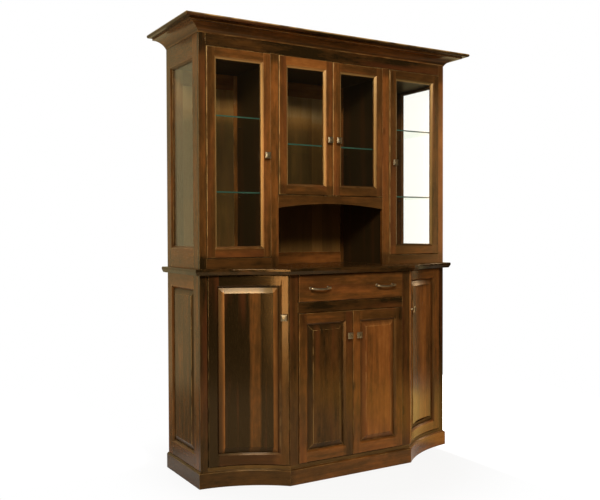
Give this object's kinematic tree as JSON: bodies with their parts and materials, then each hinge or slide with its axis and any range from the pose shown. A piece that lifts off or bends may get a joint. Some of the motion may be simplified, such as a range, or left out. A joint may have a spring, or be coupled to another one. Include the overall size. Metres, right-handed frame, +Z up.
{
  "type": "dresser with hutch",
  "caption": "Wooden china hutch on a dresser base: glazed doors and open niche above, hollow-curved doors beside a projecting centre with drawer and doors below.",
  "frame": {"origin": "centre of the overall box, on the floor", "axes": "+X to the viewer's right, +Y towards the back, +Z up"},
  "size_m": [1.646, 0.597, 2.134],
  "materials": {
    "case_wood": "dark reddish-brown stained cherry, satin lacquer, grain along each member",
    "panel_wood": "the same stained cherry, in wide figured panels, satin lacquer",
    "inner_wood": "clear-finished maple of the drawer box, runners and back",
    "clear_glass": "clear float glass",
    "shelf_glass": "clear float glass shelves with green polished edges",
    "antique_pewter": "dark antique pewter, rubbed brighter on its edges",
    "hinge_steel": "plated steel"
  },
  "bodies": {
    "cabinet": {"arched_apron": "case_wood", "base_back": "inner_wood", "base_corner_posts": "case_wood", "base_floor": "case_wood", "base_partitions": "case_wood", "base_shelves": "case_wood", "base_side_frames": "case_wood", "base_side_panels": "panel_wood", "centre_face_frame": "case_wood", "countertop": "case_wood", "crown_cap": "case_wood", "crown_moulding": "case_wood", "door_stops": "inner_wood", "drawer_runners": "inner_wood", "glass_shelves": "shelf_glass", "hinges": "hinge_steel", "hutch_back_frame": "case_wood", "hutch_back_panels": "panel_wood", "hutch_ceiling": "case_wood", "hutch_face_frame": "case_wood", "hutch_floors": "case_wood", "hutch_partitions": "case_wood", "hutch_side_beads": "case_wood", "hutch_side_frames": "case_wood", "hutch_side_glass": "clear_glass", "niche_ceiling": "case_wood", "plinth": "case_wood", "shelf_pins": "hinge_steel"},
    "hutch_left_door": {"hutch_left_door_beads": "case_wood", "hutch_left_door_frame": "case_wood", "hutch_left_door_glass": "clear_glass", "hutch_left_knob": "antique_pewter"},
    "hutch_centre_left_door": {"hutch_centre_left_door_beads": "case_wood", "hutch_centre_left_door_frame": "case_wood", "hutch_centre_left_door_glass": "clear_glass", "hutch_centre_left_knob": "antique_pewter"},
    "hutch_centre_right_door": {"hutch_centre_right_door_beads": "case_wood", "hutch_centre_right_door_frame": "case_wood", "hutch_centre_right_door_glass": "clear_glass", "hutch_centre_right_knob": "antique_pewter"},
    "hutch_right_door": {"hutch_right_door_beads": "case_wood", "hutch_right_door_frame": "case_wood", "hutch_right_door_glass": "clear_glass", "hutch_right_knob": "antique_pewter"},
    "base_left_door": {"base_left_door_frame": "case_wood", "base_left_door_panel": "panel_wood", "base_left_knob": "antique_pewter"},
    "base_centre_left_door": {"base_centre_left_door_frame": "case_wood", "base_centre_left_door_panel": "panel_wood", "base_centre_left_knob": "antique_pewter"},
    "base_centre_right_door": {"base_centre_right_door_frame": "case_wood", "base_centre_right_door_panel": "panel_wood", "base_centre_right_knob": "antique_pewter"},
    "base_right_door": {"base_right_door_frame": "case_wood", "base_right_door_panel": "panel_wood", "base_right_knob": "antique_pewter"},
    "drawer": {"drawer_front": "case_wood", "drawer_box": "inner_wood", "drawer_bottom": "inner_wood", "drawer_pulls": "antique_pewter"}
  },
  "joints": [
    {"name": "hutch_left_door_swing", "type": "hinge", "parent": "cabinet", "child": "hutch_left_door", "pos_m": [-0.6795, -0.0945, 1.535], "axis": [0, 0, -1], "range_deg": [0, 105]},
    {"name": "hutch_centre_left_door_swing", "type": "hinge", "parent": "cabinet", "child": "hutch_centre_left_door", "pos_m": [-0.3015, -0.0945, 1.685], "axis": [0, 0, -1], "range_deg": [0, 105]},
    {"name": "hutch_centre_right_door_swing", "type": "hinge", "parent": "cabinet", "child": "hutch_centre_right_door", "pos_m": [0.3015, -0.0945, 1.685], "axis": [0, 0, 1], "range_deg": [0, 105]},
    {"name": "hutch_right_door_swing", "type": "hinge", "parent": "cabinet", "child": "hutch_right_door", "pos_m": [0.6795, -0.0945, 1.535], "axis": [0, 0, 1], "range_deg": [0, 105]},
    {"name": "base_left_door_swing", "type": "hinge", "parent": "cabinet", "child": "base_left_door", "pos_m": [-0.6795, -0.10063, 0.533], "axis": [0, 0, -1], "range_deg": [0, 90]},
    {"name": "base_centre_left_door_swing", "type": "hinge", "parent": "cabinet", "child": "base_centre_left_door", "pos_m": [-0.2955, -0.2655, 0.443], "axis": [0, 0, -1], "range_deg": [0, 105]},
    {"name": "base_centre_right_door_swing", "type": "hinge", "parent": "cabinet", "child": "base_centre_right_door", "pos_m": [0.2955, -0.2655, 0.443], "axis": [0, 0, 1], "range_deg": [0, 105]},
    {"name": "base_right_door_swing", "type": "hinge", "parent": "cabinet", "child": "base_right_door", "pos_m": [0.6795, -0.10063, 0.533], "axis": [0, 0, 1], "range_deg": [0, 90]},
    {"name": "drawer_slide", "type": "slide", "parent": "cabinet", "child": "drawer", "axis": [0, -1, 0], "range_m": [0, 0.35]}
  ]
}
